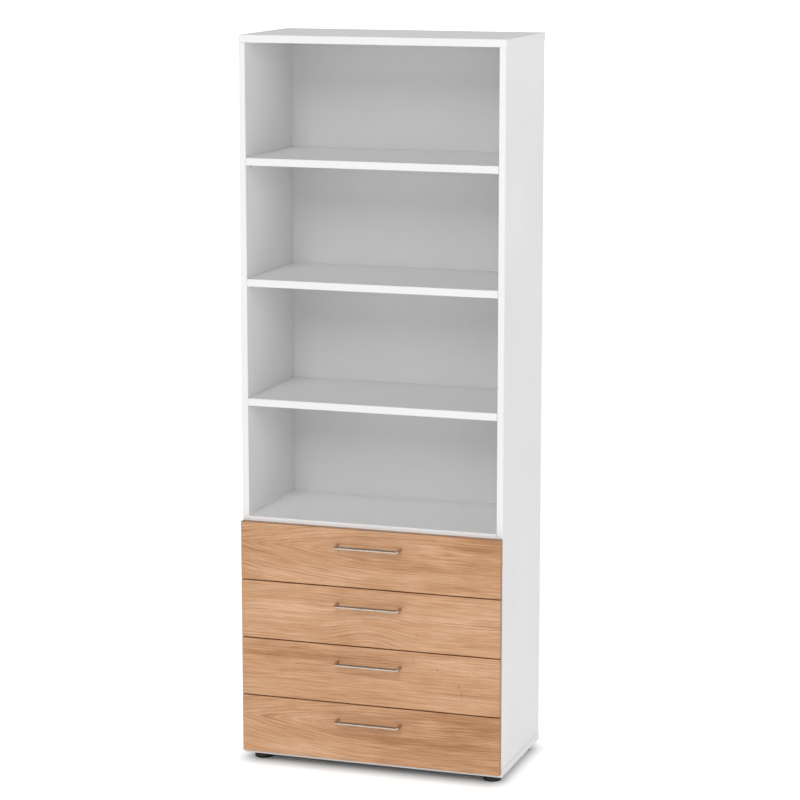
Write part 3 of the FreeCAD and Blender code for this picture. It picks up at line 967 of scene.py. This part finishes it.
@dataclass(frozen=True)
class CrossScrew:
    """Cross-recessed screw with its seat at the origin and its head along +Z.

    The bars of the cross and the dome are shares of the head's radius and height.
    """

    head_radius: float
    head_height: float
    shank_radius: float
    shank_length: float
    sides: int = 24
    bar: Triple = (1.15, 0.26, 1.1)
    bar_point: float = 0.45
    dome: float = 0.55
    turn: float = 0.7

    def recess(self) -> Piece:
        """Model the tool that cuts the cross, wider at its mouth.

        Returns:
            The tool.
        """
        length, width, depth = self.bar
        size = (self.head_radius * length, self.head_radius * width, self.head_height * depth)
        bars = []
        for turn in (0.0, math.pi / 2):
            bar = primitive(
                bpy.ops.mesh.primitive_cube_add, f"cross_bar_{len(bars)}", size=1.0,
                location=(0.0, 0.0, self.head_height), rotation=(0.0, 0.0, turn), scale=size,
            )
            select(bar, Part.FACE, lambda middle, normal: faces_up(-normal))
            resize((self.bar_point, self.bar_point, 1.0), (0.0, 0.0, 0.0))
            bars.append(close_piece(bar))
        return joined(bars, "cross_recess")

    def model(self, name: str) -> Piece:
        """Model the screw.

        Args:
            name: Name of the piece.

        Returns:
            The screw.
        """
        screw = primitive(
            bpy.ops.mesh.primitive_cylinder_add, name, vertices=self.sides,
            radius=self.head_radius, depth=self.head_height,
            location=(0.0, 0.0, self.head_height / 2),
        )
        top = self.head_height - TOLERANCE
        dome = self.head_height * self.dome
        round_rim(screw, dome, lambda *ends: min(end.z for end in ends) > top)
        select(screw, Part.FACE, lambda middle, normal: faces_up(-normal))
        bpy.ops.mesh.inset(thickness=self.head_radius - self.shank_radius)
        extrude((0.0, 0.0, -self.shank_length))
        close_piece(screw)
        tool = self.recess()
        cut = screw.modifiers.new("cross", "BOOLEAN")
        cut.object, cut.operation, cut.use_self = tool, "DIFFERENCE", True
        select_only(screw)
        bpy.ops.object.modifier_apply(modifier=cut.name)
        bpy.data.objects.remove(tool)
        bpy.ops.object.shade_smooth_by_angle(angle=math.radians(SHARP_ANGLE))
        return screw

    def repeat(self, screw: Piece, name: str, seats: Sequence[Seat]) -> Piece:
        """Copy the modelled screw to several seats and join the copies.

        Args:
            screw: The modelled screw.
            name: Name of the joined piece.
            seats: Place of each seat, and the direction in which the head stands.

        Returns:
            The joined screws, each with its cross turned a little further.
        """
        copies = []
        for number, (place, direction) in enumerate(seats):
            lean = UP.rotation_difference(direction).to_matrix().to_4x4()
            spin = Matrix.Rotation(self.turn * number, 4, "Z")
            seat = Matrix.Translation(place) @ lean @ spin
            copies.append(moved_copy(screw, f"{name}_{number}", seat))
        return joined(copies, name)


# --- Sub-assemblies ---
@dataclass
class SubAssembly(ABC):
    """Group of pieces that are modelled and dressed together."""

    pieces: list[Piece] = field(default_factory=list)

    @abstractmethod
    def build(self) -> None:
        """Model the new pieces and put them on their bodies."""

    @abstractmethod
    def dress(self) -> None:
        """Give every piece of the sub-assembly its finish."""

    def add(self, piece: Piece, body: str, node: str | None = None) -> None:
        """Put a new piece on its body.

        Args:
            piece: The piece in its place.
            body: Name of the body.
            node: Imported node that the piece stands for.
        """
        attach(piece, body)
        if node is not None:
            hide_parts(node)
        self.pieces.append(piece)


BOARDS = (
    "top_panel", "bottom_panel", "left_side_panel", "right_side_panel",
    "loose_shelf_1", "loose_shelf_2", "loose_shelf_3",
)
CARCASS_FINISHES: dict[str, Finish] = {
    **dict.fromkeys(BOARDS, MELAMINE),
    # Painted light: the fixed shelf takes the lighter copy of the melamine.
    "fixed_shelf": PAINTED_LIGHT_MELAMINE,
    "back_panel": BACK_BOARD,
    "shelf_supports": PLATED_STEEL,
    "dowels": BEECH,
    "front_bumpers": FELT,
}
DRAWER_FINISHES: dict[str, Finish] = {
    "sides": BOX_BOARD,
    "end_walls": BOX_BOARD,
    "bottom": BOX_BOTTOM,
    "drawer_members": ENAMEL,
    "cabinet_members": ENAMEL,
    "cabinet_rollers": NYLON,
    "tail_rollers": NYLON,
}


@dataclass
class Carcass(SubAssembly):
    """Outer panels, shelves, back panel and what is hidden in them."""

    def build(self) -> None:
        """Model nothing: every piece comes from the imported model."""

    def dress(self) -> None:
        """Finish the boards, supports, dowels and felt pads."""
        for name, finish in CARCASS_FINISHES.items():
            finish.dress(frame["nodes"][name])


@dataclass
class Feet(SubAssembly):
    """Four moulded levelling feet with grip flutes, on threaded studs."""

    names: tuple[str, ...] = (
        "front_left_foot", "front_right_foot", "rear_left_foot", "rear_right_foot",
    )
    sides: int = 96
    flute_every: int = 4
    flute_margin: float = 0.0003
    flute_depth: float = 0.0009
    pad_height: float = 0.012
    lower_rounding: float = 0.0015
    upper_rounding: float = 0.0010
    ledge: float = 0.002
    neck_shares: Triple = (0.30, 0.62, 1.0)
    neck_sweep: float = 1.6
    neck_radius: float = 0.011
    neck_top: float = 0.019
    stud_radius: float = 0.005
    thread_pitch: float = 0.0015
    thread_root: float = 0.86
    sharp_angle: float = 28.0

    def model(self) -> Piece:
        """Model the first foot in its place.

        Returns:
            The foot.
        """
        low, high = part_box(self.names[0])
        x, y = (low.x + high.x) / 2, (low.y + high.y) / 2
        radius = (high.x - low.x) / 2
        foot = primitive(
            bpy.ops.mesh.primitive_cylinder_add, "foot_1", vertices=self.sides, radius=radius,
            depth=self.pad_height, location=(x, y, self.pad_height / 2),
        )
        low_rim, high_rim = TOLERANCE, self.pad_height - TOLERANCE
        round_rim(foot, self.lower_rounding, lambda *ends: max(end.z for end in ends) < low_rim)
        round_rim(foot, self.upper_rounding, lambda *ends: min(end.z for end in ends) > high_rim)
        step = 2 * math.pi / self.sides

        def is_flute(middle: Vector, normal: Vector) -> bool:
            """Whether a face of the pad's wall becomes a grip flute."""
            turn = math.floor(math.atan2(middle.y - y, middle.x - x) / step)
            return abs(normal.z) < UPRIGHT and turn % self.flute_every == 0

        select(foot, Part.FACE, is_flute)
        bpy.ops.mesh.inset(
            thickness=self.flute_margin, depth=-self.flute_depth, use_individual=True,
            use_even_offset=True,
        )
        select(foot, Part.FACE, lambda middle, normal: middle.z > high_rim and faces_up(normal))
        bpy.ops.mesh.inset(thickness=self.ledge)
        waist = radius - self.upper_rounding - self.ledge
        ring, risen = waist, 0.0
        for share in self.neck_shares:
            next_ring = waist + (self.neck_radius - waist) * share
            rise = (self.neck_top - self.pad_height) * share ** self.neck_sweep
            extrude((0.0, 0.0, rise - risen))
            resize((next_ring / ring, next_ring / ring, 1.0), (x, y, 0.0))
            ring, risen = next_ring, rise
        bpy.ops.mesh.inset(thickness=self.neck_radius - self.stud_radius)
        turns = int((high.z - self.neck_top) / self.thread_pitch)
        pitch = (high.z - self.neck_top) / turns
        for _ in range(turns):
            for factor in (self.thread_root, 1.0 / self.thread_root):
                extrude((0.0, 0.0, pitch / 2))
                resize((factor, factor, 1.0), (x, y, 0.0))
        return close_piece(foot, self.sharp_angle)

    def build(self) -> None:
        """Model one foot and copy it to the other three corners."""
        first = self.model()
        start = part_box(self.names[0])[0]
        for number, name in enumerate(self.names, start=1):
            shift = Matrix.Translation(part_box(name)[0] - start)
            piece = first if number == 1 else moved_copy(first, f"foot_{number}", shift)
            self.add(piece, name, name)

    def dress(self) -> None:
        """Finish the feet and their sockets in black plastic."""
        BLACK_PLASTIC.dress(*self.pieces, frame["nodes"]["foot_sockets"])


@dataclass
class Handle:
    """Bow handle: one round rod, bent square at both ends."""

    bend_radius: float = 0.006
    sides: int = 32
    bend_steps: int = 12
    foot_chamfer: float = 0.0004
    sharp_angle: float = 40.0

    def model(self, node: str) -> Piece:
        """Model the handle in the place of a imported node.

        Args:
            node: Name of the handle's node.

        Returns:
            The handle.
        """
        low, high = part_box(node)
        radius = (high.z - low.z) / 2
        slim = radius - self.foot_chamfer
        leg_x, z = high.x - radius, (low.z + high.z) / 2
        bend_x, bend_y = leg_x - self.bend_radius, low.y + radius + self.bend_radius
        run = high.y - bend_y - self.foot_chamfer
        piece = primitive(
            bpy.ops.mesh.primitive_circle_add, "handle_1", vertices=self.sides, radius=slim,
            fill_type="NGON", location=(-leg_x, high.y, z), rotation=(math.pi / 2, 0.0, 0.0),
        )
        bpy.ops.mesh.select_mode(type="FACE")
        bpy.ops.mesh.select_all(action="SELECT")
        extrude((0.0, -self.foot_chamfer, 0.0))
        resize((radius / slim, 1.0, radius / slim), (-leg_x, high.y, z))
        extrude((0.0, -run, 0.0))
        self.bend((-bend_x, bend_y, z))
        extrude((2 * bend_x, 0.0, 0.0))
        self.bend((bend_x, bend_y, z))
        extrude((0.0, run, 0.0))
        extrude((0.0, self.foot_chamfer, 0.0))
        resize((slim / radius, 1.0, slim / radius), (leg_x, high.y, z))
        return close_piece(piece, self.sharp_angle)

    def bend(self, centre: Triple) -> None:
        """Carry the rod's open end through a quarter turn to the right.

        Args:
            centre: Point about which it turns.
        """
        bpy.ops.mesh.spin(
            steps=self.bend_steps, angle=-math.pi / 2, center=centre, axis=(0.0, 0.0, 1.0)
        )


@dataclass
class Drawers(SubAssembly):
    """Four drawers with their handles, screws and runners."""

    count: int = 4
    handle: Handle = field(default_factory=Handle)
    screws: dict[str, CrossScrew] = field(default_factory=lambda: {
        "handle_bolts": CrossScrew(0.0040, 0.0024, 0.0020, 0.0390),
        "front_screws": CrossScrew(0.0038, 0.0022, 0.0018, 0.0260),
        "runner_screws": CrossScrew(0.0042, 0.0005, 0.0030, 0.0040),
    })
    front_screw_x: float = 0.300
    front_screw_rows: Span = (0.34, 0.80)
    runner_screw_rows: Span = (0.037, 0.261)
    runner_sheet: float = 0.0012
    bows: list[Piece] = field(default_factory=list)

    def build(self) -> None:
        """Model one handle and one screw of each kind, and copy them to every drawer."""
        first = self.handle.model("drawer_1_handle")
        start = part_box("drawer_1_handle")[0]
        models = {kind: screw.model(kind) for kind, screw in self.screws.items()}
        for number in range(1, self.count + 1):
            name = f"drawer_{number}"
            shift = Matrix.Translation(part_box(f"{name}_handle")[0] - start)
            bow = first if number == 1 else moved_copy(first, f"handle_{number}", shift)
            self.add(bow, name, f"{name}_handle")
            self.bows.append(bow)
            bolts, front_screws, runner_screws = (
                self.screws[kind].repeat(models[kind], f"{kind}_{number}", seats)
                for kind, seats in self.seats(name).items()
            )
            self.add(bolts, name, f"{name}_handle_screws")
            self.add(front_screws, name)
            self.add(runner_screws, "carcass")
        for model in models.values():
            bpy.data.objects.remove(model)

    def seats(self, name: str) -> dict[str, list[Seat]]:
        """Return the seats of a drawer's screws, by the names of their pieces.

        Args:
            name: Name of the drawer.

        Returns:
            Place of each seat, and the direction in which the screw's head stands.
        """
        low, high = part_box(f"{name}_handle_screws")
        walls_low, walls_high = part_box(f"{name}_end_walls")
        members_low, members_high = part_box(f"{name}_cabinet_members")
        bolt = self.screws["handle_bolts"]
        bolt_x, wall_y = high.x - bolt.head_radius, high.y - bolt.head_height
        height = walls_high.z - walls_low.z
        web_x, web_z = members_high.x - self.runner_sheet, (members_low.z + members_high.z) / 2
        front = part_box("left_side_panel")[0].y
        right_hand = {
            "handle_bolts": [(bolt_x, wall_y, (low.z + high.z) / 2)],
            "front_screws": [
                (self.front_screw_x, wall_y, walls_low.z + share * height)
                for share in self.front_screw_rows
            ],
            "runner_screws": [(web_x, front + row, web_z) for row in self.runner_screw_rows],
        }
        return {
            kind: [
                (Vector((side * x, y, z)), -side * RIGHT if kind == "runner_screws" else BACK)
                for side in (-1.0, 1.0) for x, y, z in places
            ]
            for kind, places in right_hand.items()
        }

    def dress(self) -> None:
        """Finish fronts, boxes, runners and the new pieces."""
        nodes = frame["nodes"]
        for number in range(1, self.count + 1):
            WoodDecor(FIGURES[number]).dress(nodes[f"drawer_{number}_front"])
            for part, finish in DRAWER_FINISHES.items():
                finish.dress(nodes[f"drawer_{number}_{part}"])
        for piece in self.pieces:
            (SATIN_STEEL if piece in self.bows else PLATED_STEEL).dress(piece)


# --- Studio ---
@dataclass(frozen=True)
class SoftBox:
    """Rectangular soft light that points at a target."""

    name: str
    place: Triple
    target: Triple
    width: float
    height: float
    power: float
    mirrored: bool = False

    def hang(self) -> None:
        """Add the light to the scene, seen in shiny pieces only where it is meant to be."""
        light = bpy.data.lights.new(self.name, "AREA")
        light.shape = "RECTANGLE"
        light.size, light.size_y = self.width, self.height
        light.energy = self.power
        lamp = bpy.data.objects.new(self.name, light)
        lamp.location = self.place
        lamp.visible_glossy = self.mirrored
        aim = Vector(self.target) - Vector(self.place)
        lamp.rotation_euler = aim.to_track_quat("-Z", "Y").to_euler()
        bpy.context.scene.collection.objects.link(lamp)


@dataclass
class Studio(SubAssembly):
    """Pale floor, soft light from all sides and the camera.

    The floor glows, except in a patch that is inset from the bookcase's left, right, front and
    rear, so the patch is a painted shadow under the bookcase. Each glow fades in between two
    distances from that patch, up to its strength. The sky's strength falls over two spans of
    height, which is 0 at the horizon and 1 overhead.
    """

    floor_size: float = 240.0
    floor_colour: Colour = (0.60, 0.60, 0.60)
    floor_shade: float = 0.985
    # Insets of the painted shadow patch under the bookcase: left, right, front and rear.
    painted_shadow_insets: tuple[float, float, float, float] = (0.048, 0.052, 0.039, 0.050)
    glows: tuple[Triple, ...] = (
        (0.0, 0.10, 0.67), (0.03, 0.26, 0.12), (0.4, 1.5, -0.06), (4.0, 30.0, 0.48)
    )
    skyline: float = 1.02
    horizon: float = 0.35
    zenith: float = 0.24
    skyline_span: Span = (0.13, 0.24)
    sky_span: Span = (0.06, 0.85)
    boxes: tuple[SoftBox, ...] = (
        SoftBox("key_box", (2.1, -33.0, 23.5), (0.0, 0.0, 1.0), 18.0, 20.0, 7500.0),
        SoftBox("side_box", (6.0, -2.2, 2.4), (0.0, 0.0, 1.2), 3.0, 2.0, 55.0, mirrored=True),
        SoftBox("top_box", (0.0, 0.1, 5.2), (0.0, 0.1, 0.0), 1.0, 0.6, 31.0),
    )
    camera_place: Triple = (2.5825, -7.6600, 2.5816)
    camera_yaw: float = 18.421
    camera_tilt: float = 10.477
    lens: float = 125.76
    sensor_width: float = 36.0
    clip_end: float = 500.0

    def build(self) -> None:
        """Lay the floor, hang the lights and set up the camera."""
        floor = primitive(
            bpy.ops.mesh.primitive_plane_add, "floor", size=self.floor_size,
            location=(0.0, 0.0, 0.0),
        )
        bpy.ops.mesh.select_all(action="SELECT")
        bpy.ops.mesh.subdivide(number_cuts=3)
        deselect_all()
        self.pieces.append(floor)
        for box in self.boxes:
            box.hang()
        self.light_sky()
        self.set_camera()

    def light_sky(self) -> None:
        """Light the scene with a white sky, brightest at the horizon, in the Standard view."""
        scene = bpy.context.scene
        scene.world = bpy.data.worlds.new("studio")
        sheet = NodeSheet(scene.world, "Generated")
        height = sheet.split()[2]
        sky = sheet.add("ShaderNodeBackground", {
            "Color": WHITE,
            "Strength": sheet.total(
                sheet.fade(height, *self.skyline_span, self.skyline - self.horizon, 0.0),
                sheet.fade(height, *self.sky_span, self.horizon, self.zenith),
            ),
        })
        sheet.add("ShaderNodeOutputWorld", {"Surface": sky.outputs[0]})
        scene.view_settings.view_transform = "Standard"
        scene.view_settings.look = "None"

    def set_camera(self) -> None:
        """Place the camera and make it the scene's camera."""
        data = bpy.data.cameras.new("camera")
        data.lens = self.lens
        data.sensor_width = self.sensor_width
        data.clip_end = self.clip_end
        camera = bpy.data.objects.new("camera", data)
        camera.location = self.camera_place
        camera.rotation_euler = (
            math.radians(90.0 - self.camera_tilt), 0.0, math.radians(self.camera_yaw)
        )
        bpy.context.scene.collection.objects.link(camera)
        bpy.context.scene.camera = camera

    def dress(self) -> None:
        """Finish the floor as glowing matt paper, with a painted shadow under the bookcase."""
        sheet = PieceSheet("studio_floor", self.pieces[0])
        cloud = sheet.noise(0.8, detail=3.0)
        pale = tuple(part * self.floor_shade for part in self.floor_colour)
        low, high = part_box("bottom_panel")
        # Painted shadow: the floor's glow is held off inside the inset patch and fades in past
        # it.
        left, right, front, rear = self.painted_shadow_insets
        x, y, _ = sheet.split()
        outside = []
        for part, start, end in (
            (x, low.x + left, high.x - right), (y, low.y + front, high.y - rear)
        ):
            past = sheet.minus(sheet.off(part, (start + end) / 2), (end - start) / 2)
            outside.append(sheet.math("MAXIMUM", past, 0.0))
        past_painted_shadow = sheet.length(*outside)
        sheet.close({
            "Base Color": sheet.blend(sheet.fade(cloud, *MOST), self.floor_colour, pale),
            "Roughness": sheet.fade(cloud, *MOST, 0.80, 0.88),
            "Specular IOR Level": 0.2,
            "Emission Color": WHITE,
            "Emission Strength": sheet.total(
                *(sheet.fade(past_painted_shadow, start, end, 0.0, glow) for start, end, glow in self.glows)
            ),
        })


def main() -> None:
    """Build and dress every sub-assembly and report each piece."""
    logging.basicConfig(level=logging.INFO, format="%(name)s: %(message)s")
    for part in (Carcass(), Feet(), Drawers(), Studio()):
        part.build()
        part.dress()
        for piece in part.pieces:
            log.info("%s: %d faces", piece.name, len(piece.data.polygons))
        log.info("%s done, %d new pieces", type(part).__name__, len(part.pieces))


if __name__ == "__main__":
    main()
